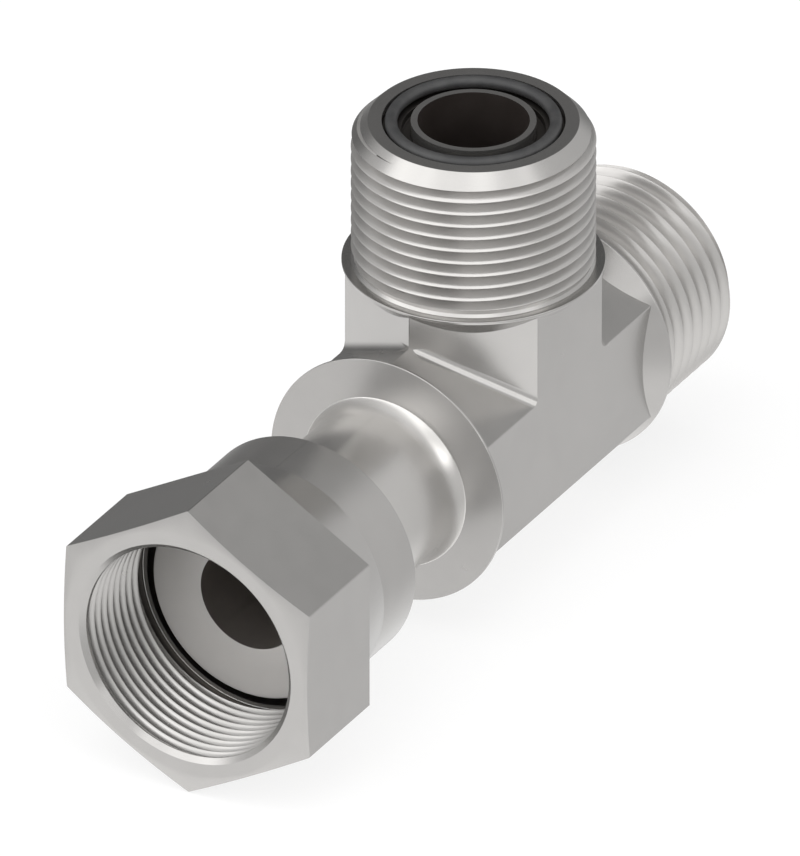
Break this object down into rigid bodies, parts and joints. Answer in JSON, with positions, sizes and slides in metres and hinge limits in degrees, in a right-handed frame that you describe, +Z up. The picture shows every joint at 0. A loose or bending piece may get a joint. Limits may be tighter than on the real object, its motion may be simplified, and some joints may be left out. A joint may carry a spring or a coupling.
{
  "type": "tee adapter",
  "caption": "Steel hydraulic tee adapter with male threaded face seal ends on the branch and the run, and a free-turning female hexagon nut on the other run end.",
  "frame": {"origin": "where the axis of the run and the axis of the branch cross, inside the body", "axes": "+X along the run towards the rear male end, with the swivel nut at -X; +Z up the branch"},
  "size_m": [0.1338, 0.0414, 0.0729],
  "materials": {
    "body_steel": "satin zinc-nickel plating",
    "sleeve_steel": "satin zinc-nickel plating",
    "nut_steel": "satin zinc-nickel plating",
    "seal_rubber": "matte"
  },
  "bodies": {
    "tee": {"tee_body": "body_steel", "seal_sleeve": "sleeve_steel", "branch_o_ring": "seal_rubber", "run_o_ring": "seal_rubber"},
    "nut": {"swivel_nut": "nut_steel"}
  },
  "joints": [
    {"name": "nut_swivel", "type": "hinge", "parent": "tee", "child": "nut", "pos_m": [-0.058, 0, 0], "axis": [1, 0, 0], "continuous": true}
  ]
}
